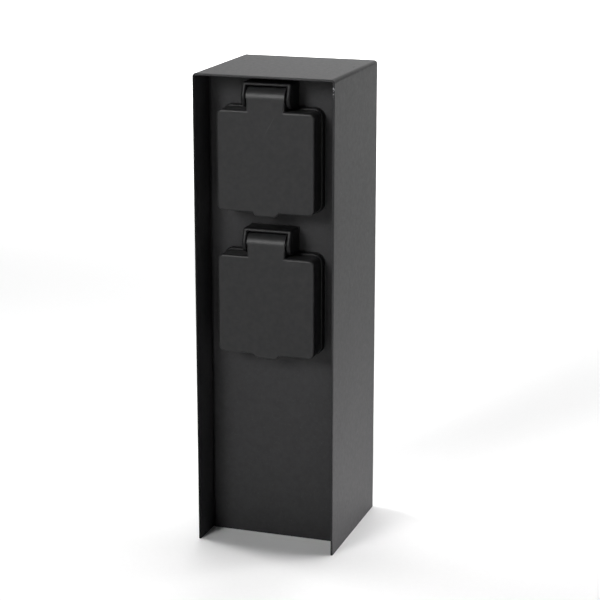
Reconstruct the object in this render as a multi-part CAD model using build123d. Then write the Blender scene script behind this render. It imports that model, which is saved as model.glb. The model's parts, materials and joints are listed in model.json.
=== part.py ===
from build123d import *
import math
import os

# A two-way garden socket post: a folded sheet shroud, a channel with a panel set back in its front,
# and two sockets with sprung, hinged lids. +X is right, +Y is back, +Z is up, and Z = 0 is the ground.
os.makedirs("parts", exist_ok=True)

# The post, in millimetres
post_width = 75.0
post_depth = 75.0
post_height = 250.0
sheet = 1.2
roof_bend = 1.8                # outer radius of the shroud's two bends
weld_gap = 0.05                # between sheets that are spot-welded face to face
panel_set_back = 18.5          # from the shroud's front edges to the panel's face
channel_bend = 2.0             # outer radius of the channel's upright bends
roof_gap = 0.5                 # from the channel's top edge to the roof

# The rear cover and what holds it
lip_width = 13.0               # the channel's inward lips, which the cover is screwed to
cover_set_in = 3.6             # from the shroud's rear edges to the cover's face
cover_rim = 3.2                # depth of the cover's turned-out edge
cover_side_gap = 0.4
cover_bend = 2.0
seal_thickness = 1.0
seal_width = 10.0
cover_screw_from_edge = 12.0   # from the cover's top and bottom edges
cover_screw_radius = 2.0
cover_screw_head = 3.8
cover_screw_head_height = 2.2
cover_screw_length = 10.35
cover_hole_radius = 2.3
rivet_nut_radius = 3.0
rivet_nut_length = 9.0
rivet_nut_flange = 4.2
rivet_nut_flange_thickness = 0.8

# The base
base_height = 5.0              # top of the base plate above the ground
base_thickness = 2.0
base_corner = 1.0
anchor_hole_radius = 2.75
anchor_spacing_x = 54.0
anchor_spacing_y = 32.0
cable_hole_radius = 7.5
cable_hole_from_side = 23.4    # from its right edge
grommet_lip = 2.0              # how far the grommet's lips reach past its hole
grommet_lip_thickness = 1.4
grommet_bore = 4.0
grommet_top = 5.0              # height of the grommet's cone above its upper lip
grommet_wall = 1.8

# The terminal block
block_length = 36.0
block_width = 15.0
block_height = 19.0
free_depth_shares = (0.37, 0.27)  # of the base's free depth: before the block, and between block and grommet
pole_pitch = 10.0
block_corner = 1.0
bond_hole_share = 0.3          # of the block's height, where the bond wire enters it
block_foot_screw_radius = 1.5
foot_screw_head = 2.2
clamp_screw_radius = 1.7
clamp_screw_set_back = 4.5     # from the wire hole to the clamp screw beside it
clamp_screw_length = 5.9
clamp_screw_sink = 0.5         # from the block's top down to the screw's top
clamp_slot_width = 0.6
clamp_slot_depth = 1.0
wire_hole_depth = 8.0
wire_gap = 0.1                 # radial gap of a wire in its hole
wire_end_gap = 0.3             # from a wire's end to the bottom of its hole

# The wires
wire_radius = 1.4
wire_bow = 4.0                 # how far the wires between the sockets bow out
wire_rise = 14.0               # rise of a wire between the sockets out of its terminal
supply_rise = 28.0             # rise of a wire out of the terminal block
supply_end = 22.4              # its last run, up into the lower socket's terminal
bond_run = 5.0                 # first run of the bond wire out of the block
bond_bend_x = -4.0
bend_share = 0.45              # share of the shorter run that a bend may use

# The earth stud
stud_from_side = 14.4          # from the base plate's left edge
stud_from_rear = 10.85
stud_radius = 2.5
stud_height = 12.0
stud_nut_width = 8.0
stud_nut_height = 4.0
lug_thickness = 1.0
lug_wall = 0.8
lug_sleeve = 6.0
lug_radius = 5.6

# The sockets' places on the panel
socket_from_top = 44.0         # from the post's top down to the upper socket's centre
socket_pitch = 75.0

# The cup that a plug goes into
well_radius = 19.5
well_depth = 17.2
cup_wall = 1.1
cup_floor = 2.5
pin_spacing = 19.0
pin_hole_radius = 2.6
guide_width = 5.2
guide_height = 1.5
snap_gap = 0.05                # between the cup and the frame's collar

# The frame
frame_side = 54.0
frame_corner = 5.0
frame_plate = 3.0
frame_edge = 0.8
gasket_thickness = 1.0
collar_wall = 1.25
collar_tail = 3.5              # how far the collar reaches behind the panel's face
panel_hole_gap = 0.4
screw_web = 2.57               # sheet left between the panel's hole and a fixing screw's hole
screw_radius = 1.75
screw_hole_radius = 2.0
screw_head_radius = 3.0
screw_head_height = 1.9
nut_width = 6.0
nut_height = 2.8
thread_gap = 0.02
screw_tip = 1.5                # how far a fixing screw reaches past its nut

# The lid
lid_side = 52.0
lid_corner = 3.0
lid_set_back = 3.2             # from the shroud's front edges to the lid's face
lid_skin = 2.2
lid_skirt = 1.8
lid_gap = 0.3                  # from the closed lid to the frame and the collar
lid_edge = 1.2                 # rounding of the lid's front edges
seal_ring_thickness = 1.6
seal_ring_inset = 0.9          # how far the seal reaches inside the well's edge
tab_root = 16.4
tab_tip = 10.8
tab_drop = 2.1
tab_corner = 1.5               # rounding of the tab's lower corners, seen from the front
tongue_width = 20.4

# The hinge
pin_rise = 6.0                 # from the lid's top edge up to the pin
barrel_radius = 5.5
barrel_wall = 2.2
ear_width = 2.5
pin_radius = 1.5
pin_running_gap = 0.05
pin_press_gap = 0.02
pin_set_in = 0.4               # from the hood's left side in to the pin's end
pin_cover = 0.8                # wall that closes the pin's hole on the right
pin_chamfer = 0.2
hood_side_gap = 0.6
hood_cheek = 2.4
cheek_radius = 5.0
hood_roof_gap = 0.7
hood_roof = 1.8
hood_nose = 2.2                # how far the hood's roof reaches in front of the pin
hood_edge = 1.1                # rounding of the cheeks' outer edges
hood_inner_edge = 0.8          # and of the edges beside the tongue
hood_lip_edge = 0.6            # rounding of the roof's lower front edge
hood_nose_edge = 0.9

# The spring that closes the lid
spring_wire = 0.3
spring_radius = 2.45
spring_turns = 5
spring_pitch = 1.15
spring_room = 7.2              # from the tongue's left edge to the ear that the spring turns
spring_end_bend = 0.7          # bend from the coil's ends to the straight ends beside the pin
spring_hole_depth = 1.4
spring_hole_gap = 0.05

# The contacts
block_radius = 18.6
contact_block_length = 17.0
contact_block_corner = 1.0
tube_wall = 0.75
tube_bore = 2.45
tube_floor = 0.5                # closes a contact tube at its terminal
weld_sink = 0.5                # how far a contact reaches into its terminal
terminal_size = 8.0
terminal_chamfer = 0.4
terminal_screw_radius = 1.5
terminal_screw_head = 2.3
terminal_screw_head_height = 1.6
strap_width = 7.0
strap_thickness = 0.8
strap_bulge = 1.7              # how far the earth springs reach into the well
strap_slot_gap = 0.5
strap_reach = 12.0             # how far the earth springs reach forward of the cup's floor
strap_bend_shares = (0.2, 0.6)  # of that reach, where the springs bend in and out again
strap_tail_width = 5.0
earth_terminal_z = 12.5        # above the socket's centre
centre_screw_radius = 1.5
centre_screw_head = 2.9
centre_screw_sink = 1.5
centre_screw_length = 14.0
screw_end_room = 0.5
fit_gap = 0.05

# The screws' heads, as shares of their radius and height
recess_arm = 0.6
recess_blade = 0.14
recess_depth = 0.6
head_rounding = 0.45

# Places that follow from the sizes
front_y = -post_depth / 2
rear_y = post_depth / 2
panel_y = front_y + panel_set_back
panel_rear_y = panel_y + sheet
inner_half = post_width / 2 - sheet
channel_half = inner_half - weld_gap
channel_top = post_height - sheet - roof_gap
cover_y = rear_y - cover_set_in
lip_rear_y = cover_y - sheet - seal_thickness
lip_front_y = lip_rear_y - sheet
cover_half = inner_half - cover_side_gap
cover_screw_x = channel_half - lip_width / 2
cover_bottom = roof_gap
cover_top = channel_top
cover_screw_zs = (cover_bottom + cover_screw_from_edge, cover_top - cover_screw_from_edge)
base_half = channel_half - sheet - weld_gap
base_front_y = panel_rear_y + weld_gap
base_rear_y = lip_front_y - weld_gap
base_middle_y = (base_front_y + base_rear_y) / 2
cable_hole_x = base_half - cable_hole_from_side
grommet_radius = cable_hole_radius + grommet_lip
free_depth = base_rear_y - base_front_y - block_width - 2 * grommet_radius
block_y = base_front_y + free_depth * free_depth_shares[0] + block_width / 2
cable_hole_y = block_y + block_width / 2 + free_depth * free_depth_shares[1] + grommet_radius
block_top = base_height + fit_gap + block_height
bond_z = base_height + fit_gap + block_height * bond_hole_share
stud_x = -base_half + stud_from_side
stud_y = base_rear_y - stud_from_rear
pole_xs = (-pole_pitch, 0.0, pole_pitch)
foot_screw_xs = (-pole_pitch * 1.5, pole_pitch * 1.5)

frame_front_y = panel_y - gasket_thickness - frame_plate
lid_front_y = front_y + lid_set_back
lid_rear_y = frame_front_y - lid_gap
collar_front_y = lid_front_y + lid_skin + seal_ring_thickness + lid_gap
collar_rear_y = panel_y + collar_tail
floor_y = collar_front_y + well_depth
floor_rear_y = floor_y + cup_floor
cup_radius = well_radius + cup_wall
collar_bore = cup_radius + snap_gap
collar_radius = collar_bore + collar_wall
panel_hole_radius = collar_radius + panel_hole_gap
strap_rear_y = floor_rear_y + fit_gap + strap_thickness
contact_block_y = strap_rear_y + fit_gap
contact_block_rear_y = contact_block_y + contact_block_length
terminal_y = contact_block_rear_y + fit_gap + terminal_size / 2
tube_radius = tube_bore + tube_wall
pin_y = lid_front_y + barrel_radius
pin_z = lid_side / 2 + pin_rise
hood_inner_half = tongue_width / 2 + hood_side_gap
hood_half = hood_inner_half + hood_cheek
hood_under_z = pin_z + barrel_radius + hood_roof_gap
hood_top_z = hood_under_z + hood_roof
hood_front_y = pin_y - hood_nose
spring_ear_x = -tongue_width / 2 + spring_room
spring_x = (spring_ear_x - hood_inner_half) / 2
screw_offset = (panel_hole_radius + screw_web + screw_hole_radius) / math.sqrt(2)
screw_places = [(x, z) for x in (-screw_offset, screw_offset) for z in (-screw_offset, screw_offset)]
upper_socket_z = post_height - socket_from_top
sockets = {"lower": upper_socket_z - socket_pitch, "upper": upper_socket_z}


def block(x0, x1, y0, y1, z0, z1):
    return Pos((x0 + x1) / 2, (y0 + y1) / 2, (z0 + z1) / 2) * Box(x1 - x0, y1 - y0, z1 - z0)


def rod_x(radius, x0, x1, y, z):
    start = Plane(origin=(x0, y, z), z_dir=(1, 0, 0))
    return start * Cylinder(radius, x1 - x0, align=(Align.CENTER, Align.CENTER, Align.MIN))


def rod_y(radius, y0, y1, x, z):
    start = Plane(origin=(x, y0, z), z_dir=(0, 1, 0))
    return start * Cylinder(radius, y1 - y0, align=(Align.CENTER, Align.CENTER, Align.MIN))


def rod_z(radius, z0, z1, x, y):
    return Pos(x, y, z0) * Cylinder(radius, z1 - z0, align=(Align.CENTER, Align.CENTER, Align.MIN))


def upright_plate(width, height, corner, y0, y1):
    """A plate that faces the front, with rounded corners, from y0 back to y1."""
    outline = RectangleRounded(width, height, corner)
    return extrude(Plane(origin=(0, y0, 0), x_dir=(1, 0, 0), z_dir=(0, 1, 0)) * outline, amount=y1 - y0)


def hexagon_y(across, y0, y1, x, z):
    outline = RegularPolygon(across / 2, 6, major_radius=False)
    return extrude(Plane(origin=(x, y0, z), x_dir=(1, 0, 0), z_dir=(0, 1, 0)) * outline, amount=y1 - y0)


def cross_recess(head_radius, head_height, x, y, z, outward):
    """The cross in a screw head's face at y, where outward is -1 or 1 along Y."""
    arm = head_radius * recess_arm
    blade = head_radius * recess_blade
    deep = head_height * recess_depth
    ends = sorted((y - outward * deep, y + outward))
    across = block(x - arm, x + arm, *ends, z - blade, z + blade)
    upright = block(x - blade, x + blade, *ends, z - arm, z + arm)
    return across + upright


def pan_screw_y(radius, head_radius, head_height, head_y, tip_y, x, z):
    """A screw along Y, whose head lies outside head_y, on the side away from tip_y."""
    outward = 1 if head_y > tip_y else -1
    shank = rod_y(radius, *sorted((head_y, tip_y)), x, z)
    face_y = head_y + outward * head_height
    head = rod_y(head_radius, *sorted((head_y, face_y)), x, z)
    rim = head.edges().filter_by(GeomType.CIRCLE).sort_by(Axis.Y)[-1 if outward > 0 else 0]
    head = fillet(rim, head_height * head_rounding)
    return shank + head - cross_recess(head_radius, head_height, x, face_y, z, outward)


def bend_radii(points):
    """The largest bend at each corner of a wire's route that its two runs leave room for."""
    radii = []
    for before, corner, after in zip(points, points[1:], points[2:]):
        first = Vector(*corner) - Vector(*before)
        second = Vector(*after) - Vector(*corner)
        turn = math.radians(first.get_angle(second))
        radii.append(bend_share * min(first.length, second.length) / math.tan(turn / 2))
    return radii


def wire(points, label):
    radii = bend_radii(points)
    path = FilletPolyline(*points, radius=radii)
    start = Plane(origin=points[0], z_dir=Vector(*points[1]) - Vector(*points[0]))
    solid = sweep(start * Circle(wire_radius), path=path)
    share = solid.volume / (math.pi * wire_radius ** 2 * path.length)
    print(label, "wire: bend radii", [round(r, 1) for r in radii],
          "volume over section times length", round(share, 4))
    return solid


def save(name, shape):
    export_step(shape, f"parts/{name}.step")


def make_shroud():
    outline = Pos(0, post_height / 2) * Rectangle(post_width, post_height)
    outline = fillet(outline.vertices().group_by(Axis.Y)[-1], roof_bend)
    hollow = Pos(0, (post_height - sheet) / 2) * Rectangle(post_width - 2 * sheet, post_height - sheet)
    hollow = fillet(hollow.vertices().group_by(Axis.Y)[-1], roof_bend - sheet)
    face = Plane(origin=(0, rear_y, 0), x_dir=(1, 0, 0), z_dir=(0, -1, 0)) * (outline - hollow)
    return extrude(face, amount=post_depth)


def make_shroud_inside():
    """The space that the shroud leaves for the channel, with rounded upper corners."""
    outline = Pos(0, channel_top / 2) * Rectangle(2 * channel_half, channel_top)
    outline = fillet(outline.vertices().group_by(Axis.Y)[-1], roof_bend - sheet)
    face = Plane(origin=(0, rear_y, 0), x_dir=(1, 0, 0), z_dir=(0, -1, 0)) * outline
    return extrude(face, amount=post_depth)


def make_front_panel():
    """The channel: the panel between the shroud's sides, its folded sides and the lips at the rear."""
    outside = block(-channel_half, channel_half, panel_y, lip_rear_y, 0, channel_top)
    outside = fillet(outside.edges().filter_by(Axis.Z), channel_bend)
    inside = block(-channel_half + sheet, channel_half - sheet, panel_rear_y, lip_front_y,
                   -1, channel_top + 1)
    inside = fillet(inside.edges().filter_by(Axis.Z), channel_bend - sheet)
    window_half = channel_half - lip_width
    channel = outside - inside
    channel -= block(-window_half, window_half, lip_front_y - sheet, lip_rear_y + 1, -1, channel_top + 1)
    channel &= make_shroud_inside()
    for centre_z in sockets.values():
        channel -= rod_y(panel_hole_radius, panel_y - 1, panel_rear_y + 1, 0, centre_z)
        for x, z in screw_places:
            channel -= rod_y(screw_hole_radius, panel_y - 1, panel_rear_y + 1, x, centre_z + z)
    for x in (-cover_screw_x, cover_screw_x):
        for z in cover_screw_zs:
            channel -= rod_y(rivet_nut_radius + fit_gap, lip_front_y - 1, lip_rear_y + 1, x, z)
    return channel


def make_rear_cover():
    rim_y = cover_y + cover_rim
    tray = block(-cover_half, cover_half, cover_y - sheet, rim_y, cover_bottom, cover_top)
    tray = fillet(tray.edges().group_by(Axis.Y)[0], cover_bend)
    hollow = block(-cover_half + sheet, cover_half - sheet, cover_y, rim_y + 1,
                   cover_bottom + sheet, cover_top - sheet)
    hollow = fillet(hollow.edges().group_by(Axis.Y)[0], cover_bend - sheet)
    tray -= hollow
    for x in (-cover_screw_x, cover_screw_x):
        for z in cover_screw_zs:
            tray -= rod_y(cover_hole_radius, cover_y - sheet - 1, cover_y + 1, x, z)
    return tray


def make_cover_seals():
    strips = []
    for side in (-1, 1):
        middle = side * cover_screw_x
        strip = block(middle - seal_width / 2, middle + seal_width / 2, lip_rear_y + fit_gap,
                      cover_y - sheet - fit_gap, cover_bottom + cover_bend, cover_top - cover_bend)
        for z in cover_screw_zs:
            strip -= rod_y(rivet_nut_flange + fit_gap, lip_rear_y - 1, cover_y, middle, z)
        strips.append(strip)
    return Compound(children=strips)


def make_rivet_nuts():
    nuts = []
    for x in (-cover_screw_x, cover_screw_x):
        for z in cover_screw_zs:
            flange_y = lip_rear_y + fit_gap
            nut = rod_y(rivet_nut_radius, flange_y - rivet_nut_length, flange_y, x, z)
            nut += rod_y(rivet_nut_flange, flange_y, flange_y + rivet_nut_flange_thickness, x, z)
            nut -= rod_y(cover_screw_radius + thread_gap, flange_y - rivet_nut_length - 1, cover_y, x, z)
            nuts.append(nut)
    return Compound(children=nuts)


def make_cover_screws():
    screws = [pan_screw_y(cover_screw_radius, cover_screw_head, cover_screw_head_height,
                          cover_y + fit_gap, cover_y + fit_gap - cover_screw_length, x, z)
              for x in (-cover_screw_x, cover_screw_x) for z in cover_screw_zs]
    return Compound(children=screws)


def make_base_plate():
    tray = block(-base_half, base_half, base_front_y, base_rear_y, 0, base_height)
    tray = fillet(tray.edges().filter_by(Axis.Z), base_corner)
    tray -= block(-base_half + base_thickness, base_half - base_thickness, base_front_y + base_thickness,
                  base_rear_y - base_thickness, -1, base_height - base_thickness)
    for x in (-anchor_spacing_x / 2, anchor_spacing_x / 2):
        for y in (-anchor_spacing_y / 2, anchor_spacing_y / 2):
            tray -= rod_z(anchor_hole_radius, -1, base_height + 1, x, base_middle_y + y)
    return tray - rod_z(cable_hole_radius, -1, base_height + 1, cable_hole_x, cable_hole_y)


def make_cable_grommet():
    lower_z = base_height - base_thickness - fit_gap
    upper_z = base_height + fit_gap
    cone_radius = grommet_bore + grommet_wall
    grommet = rod_z(grommet_radius, lower_z - grommet_lip_thickness, lower_z, cable_hole_x, cable_hole_y)
    grommet += rod_z(cable_hole_radius - fit_gap, lower_z, upper_z, cable_hole_x, cable_hole_y)
    grommet += rod_z(grommet_radius, upper_z, upper_z + grommet_lip_thickness, cable_hole_x, cable_hole_y)
    cone = Cone(cable_hole_radius - fit_gap, cone_radius, grommet_top,
                align=(Align.CENTER, Align.CENTER, Align.MIN))
    grommet += Pos(cable_hole_x, cable_hole_y, upper_z + grommet_lip_thickness) * cone
    return grommet - rod_z(grommet_bore, -1, base_height + 2 * grommet_top + 1, cable_hole_x, cable_hole_y)


def make_terminal_block():
    half = block_length / 2
    bottom = base_height + fit_gap
    body = block(-half, half, block_y - block_width / 2, block_y + block_width / 2, bottom, block_top)
    body = fillet(body.edges().filter_by(Axis.Z), block_corner)
    for x in pole_xs:
        body -= rod_z(wire_radius + wire_gap, block_top - wire_hole_depth, block_top + 1, x, block_y)
        body -= rod_z(clamp_screw_radius + thread_gap, block_top - wire_hole_depth, block_top + 1,
                      x, block_y - clamp_screw_set_back)
    body -= rod_y(wire_radius + wire_gap, block_y + block_width / 2 - wire_hole_depth,
                  block_y + block_width / 2 + 1, 0, bond_z)
    for x in foot_screw_xs:
        body -= rod_z(block_foot_screw_radius + wire_gap, bottom - 1, block_top + 1, x, block_y)
    return body


def make_block_screws():
    screws = []
    head_z = block_top + fit_gap
    for x in foot_screw_xs:
        screw = rod_z(block_foot_screw_radius, base_height + fit_gap, head_z, x, block_y)
        screw += rod_z(foot_screw_head, head_z, head_z + block_foot_screw_radius, x, block_y)
        screws.append(screw)
    return Compound(children=screws)


def make_block_clamp_screws():
    screws = []
    y = block_y - clamp_screw_set_back
    top = block_top - clamp_screw_sink
    slot_half = clamp_slot_width / 2
    for x in pole_xs:
        screw = rod_z(clamp_screw_radius, top - clamp_screw_length, top, x, y)
        screw -= block(x - clamp_screw_radius, x + clamp_screw_radius, y - slot_half, y + slot_half,
                       top - clamp_slot_depth, block_top)
        screws.append(screw)
    return Compound(children=screws)


def make_earth_stud():
    return rod_z(stud_radius, base_height + fit_gap, base_height + stud_height, stud_x, stud_y)


def make_ring_lug():
    bottom = base_height + fit_gap
    ring = rod_z(lug_radius, bottom, bottom + lug_thickness, stud_x, stud_y)
    sleeve_x = stud_x + lug_radius - lug_wall
    sleeve = rod_x(wire_radius + lug_wall, sleeve_x, sleeve_x + lug_sleeve, stud_y, bond_z)
    sleeve -= rod_x(wire_radius + wire_gap, sleeve_x + lug_wall, sleeve_x + lug_sleeve + 1, stud_y, bond_z)
    neck = block(sleeve_x, sleeve_x + lug_wall, stud_y - wire_radius, stud_y + wire_radius, bottom, bond_z)
    return ring + neck + sleeve - rod_z(stud_radius + fit_gap, 0, bottom + stud_height, stud_x, stud_y)


def make_earth_nut():
    bottom = base_height + 2 * fit_gap + lug_thickness
    outline = RegularPolygon(stud_nut_width / 2, 6, major_radius=False)
    nut = extrude(Plane(origin=(stud_x, stud_y, bottom)) * outline, amount=stud_nut_height)
    return nut - rod_z(stud_radius + thread_gap, 0, bottom + stud_height, stud_x, stud_y)


def make_frame():
    """One moulding, about the socket's centre: the flange, the collar round the cup and the hinge hood."""
    plate_rear_y = panel_y - gasket_thickness - fit_gap
    frame = upright_plate(frame_side, frame_side, frame_corner, frame_front_y, plate_rear_y)
    frame = fillet(frame.edges().group_by(Axis.Y)[0], frame_edge)
    frame += rod_y(collar_radius, collar_front_y, collar_rear_y, 0, 0)
    frame += make_hood(plate_rear_y)
    frame -= rod_y(collar_bore, collar_front_y - 1, collar_rear_y + 1, 0, 0)
    for x, z in screw_places:
        frame -= rod_y(screw_hole_radius, frame_front_y - 1, plate_rear_y + 1, x, z)
    return frame


def make_hood(plate_rear_y):
    """The hood stands on the flange, and its two cheeks hold the hinge pin."""
    nose_z = hood_top_z - pin_z
    touch_angle = math.atan2(nose_z, hood_nose) - math.acos(cheek_radius / math.hypot(hood_nose, nose_z))

    def on_cheek(angle):
        return (pin_y - cheek_radius * math.cos(angle), pin_z + cheek_radius * math.sin(angle))

    bottom = on_cheek(-math.pi / 2)
    nose = (hood_front_y, hood_top_z)
    outline = [
        Line((plate_rear_y, bottom[1]), bottom),
        ThreePointArc(bottom, on_cheek((touch_angle - math.pi / 2) / 2), on_cheek(touch_angle)),
        Polyline(on_cheek(touch_angle), nose, (plate_rear_y, hood_top_z), (plate_rear_y, bottom[1])),
    ]
    profile = make_face(outline)
    profile = fillet(profile.vertices().sort_by_distance(nose)[0], hood_nose_edge)
    side_on = Plane(origin=(-hood_half, 0, 0), x_dir=(0, 1, 0), z_dir=(1, 0, 0))
    hood = extrude(side_on * profile, amount=2 * hood_half)
    sides = hood.faces().sort_by(Axis.X)
    side_edges = [e for e in sides[0].edges() + sides[-1].edges() if e.center().Y < plate_rear_y - fit_gap]
    hood = fillet(side_edges, hood_edge)
    hood -= block(-hood_inner_half, hood_inner_half, front_y, frame_front_y, 0, hood_under_z)
    lower_nose = [e for e in hood.edges().filter_by(Axis.X)
                  if abs(e.center().Z - hood_under_z) < fit_gap and e.center().Y < pin_y - 1]
    hood = fillet(lower_nose, hood_lip_edge)
    beside_tongue = [e for e in hood.edges() if abs(abs(e.center().X) - hood_inner_half) < fit_gap / 10
                     and e.center().Y < frame_front_y - fit_gap and e.center().Z < hood_under_z - fit_gap]
    hood = fillet(beside_tongue, hood_inner_edge)
    hood -= rod_x(pin_radius + pin_press_gap, -hood_half - 1, hood_half - pin_cover, pin_y, pin_z)
    spring_hole = spring_end(0)
    hood -= rod_x(spring_wire + spring_hole_gap, -hood_inner_half - spring_hole_depth, -hood_inner_half + 1,
                  spring_hole.Y, spring_hole.Z)
    return hood + block(-hood_half, hood_half, frame_front_y, plate_rear_y, 0, pin_z)


def make_gasket():
    gasket_y0 = panel_y - gasket_thickness
    gasket_y1 = panel_y - fit_gap
    gasket = upright_plate(frame_side, frame_side, frame_corner, gasket_y0, gasket_y1)
    gasket += block(-hood_half, hood_half, gasket_y0, gasket_y1, 0, hood_top_z)
    gasket -= rod_y(panel_hole_radius, gasket_y0 - 1, gasket_y1 + 1, 0, 0)
    for x, z in screw_places:
        gasket -= rod_y(screw_hole_radius, gasket_y0 - 1, gasket_y1 + 1, x, z)
    return gasket


def make_cup():
    cup = rod_y(cup_radius, collar_front_y, floor_rear_y, 0, 0)
    cup -= rod_y(well_radius, collar_front_y - 1, floor_y, 0, 0)
    for side in (-1, 1):
        rib_xs = sorted((side * (well_radius - guide_height), side * (well_radius + cup_wall / 2)))
        cup += block(*rib_xs, collar_front_y + guide_height, floor_y + cup_floor / 2,
                     -guide_width / 2, guide_width / 2)
        cup -= rod_y(pin_hole_radius, floor_y - 1, floor_rear_y + 1, side * pin_spacing / 2, 0)
        slot_half = strap_width / 2 + strap_slot_gap
        slot = block(-slot_half, slot_half, floor_y - strap_reach - strap_slot_gap, floor_rear_y + 1,
                     *sorted((side * (well_radius - strap_bulge - strap_slot_gap), side * (cup_radius + 1))))
        cup -= slot
    cup -= rod_y(centre_screw_radius + fit_gap, floor_y - 1, floor_rear_y + 1, 0, 0)
    sink = Cone(centre_screw_head + fit_gap, centre_screw_radius + fit_gap, centre_screw_sink,
                align=(Align.CENTER, Align.CENTER, Align.MIN))
    return cup - Plane(origin=(0, floor_y, 0), z_dir=(0, 1, 0)) * sink


def make_earth_strap():
    """A band behind the cup's floor, with ends turned forward as springs and a tail to the earth terminal."""
    band_y0 = strap_rear_y - strap_thickness
    half = strap_width / 2
    edge_z = math.sqrt(cup_radius ** 2 - half ** 2)
    strap = block(-half, half, band_y0, strap_rear_y, -edge_z, edge_z)
    for side in (-1, 1):
        bulge_z = well_radius - strap_bulge
        outer = [
            (strap_rear_y, side * edge_z),
            (floor_y - strap_reach * strap_bend_shares[0], side * edge_z),
            (floor_y - strap_reach * strap_bend_shares[1], side * (bulge_z + strap_thickness)),
            (floor_y - strap_reach, side * edge_z),
        ]
        inner = [(y, side * (abs(z) - strap_thickness)) for y, z in reversed(outer)]
        side_on = Plane(origin=(-half, 0, 0), x_dir=(0, 1, 0), z_dir=(1, 0, 0))
        spring = side_on * make_face(Polyline(*outer, *inner, close=True))
        strap += extrude(spring, amount=strap_width)
    strap -= rod_y(centre_screw_radius + fit_gap, band_y0 - 1, strap_rear_y + 1, 0, 0)
    tail_z = earth_terminal_z
    tail_y1 = terminal_y - terminal_size / 2 + weld_sink
    strap += block(-strap_tail_width / 2, strap_tail_width / 2, band_y0, tail_y1,
                   tail_z - strap_thickness / 2, tail_z + strap_thickness / 2)
    return strap + make_terminal(0, tail_z)


def make_terminal(x, z):
    """A brass cube behind the contact block: the wires enter from above and below, the screw from behind."""
    half = terminal_size / 2
    cube = block(x - half, x + half, terminal_y - half, terminal_y + half, z - half, z + half)
    cube = chamfer(cube.edges(), terminal_chamfer)
    cube -= rod_z(wire_radius + wire_gap, z - half - 1, z + half + 1, x, terminal_y)
    return cube - rod_y(terminal_screw_radius + thread_gap, terminal_y, terminal_y + half + 1, x, z)


def make_contact(x):
    tube = rod_y(tube_radius, contact_block_y, terminal_y - terminal_size / 2 + weld_sink, x, 0)
    contact = tube + make_terminal(x, 0)
    return contact - rod_y(tube_bore, contact_block_y - 1, contact_block_rear_y - tube_floor, x, 0)


def make_contact_block():
    body = rod_y(block_radius, contact_block_y, contact_block_rear_y, 0, 0)
    body = fillet(body.edges().group_by(Axis.Y)[-1], contact_block_corner)
    for side in (-1, 1):
        body -= rod_y(tube_radius + fit_gap, contact_block_y - 1, contact_block_rear_y + 1,
                      side * pin_spacing / 2, 0)
    half = strap_tail_width / 2 + fit_gap
    tail = strap_thickness / 2 + fit_gap
    body -= block(-half, half, contact_block_y - 1, contact_block_rear_y + 1,
                  earth_terminal_z - tail, earth_terminal_z + tail)
    return body - rod_y(centre_screw_radius + thread_gap, contact_block_y - 1,
                        floor_y + centre_screw_length + screw_end_room, 0, 0)


def make_centre_screw():
    head = Cone(centre_screw_head, centre_screw_radius, centre_screw_sink,
                align=(Align.CENTER, Align.CENTER, Align.MIN))
    screw = Plane(origin=(0, floor_y, 0), z_dir=(0, 1, 0)) * head
    screw += rod_y(centre_screw_radius, floor_y + centre_screw_sink / 2, floor_y + centre_screw_length, 0, 0)
    return screw - cross_recess(centre_screw_head, centre_screw_sink, 0, floor_y, 0, -1)


def make_terminal_screws(centre_z):
    places = [(-pin_spacing / 2, 0), (pin_spacing / 2, 0), (0, earth_terminal_z)]
    head_y = terminal_y + terminal_size / 2 + fit_gap
    screws = [pan_screw_y(terminal_screw_radius, terminal_screw_head, terminal_screw_head_height,
                          head_y, terminal_y + wire_radius + fit_gap, x, centre_z + z) for x, z in places]
    return Compound(children=screws)


def make_fixing_screws(centre_z):
    tip_y = panel_rear_y + nut_height + screw_tip
    screws = [pan_screw_y(screw_radius, screw_head_radius, screw_head_height,
                          frame_front_y - fit_gap, tip_y, x, centre_z + z) for x, z in screw_places]
    return Compound(children=screws)


def make_fixing_nuts(centre_z):
    nuts = []
    nut_y0 = panel_rear_y + fit_gap
    nut_y1 = nut_y0 + nut_height
    for x, z in screw_places:
        nut = hexagon_y(nut_width, nut_y0, nut_y1, x, centre_z + z)
        nuts.append(nut - rod_y(screw_radius + thread_gap, nut_y0 - 1, nut_y1 + 1, x, centre_z + z))
    return Compound(children=nuts)


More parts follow.
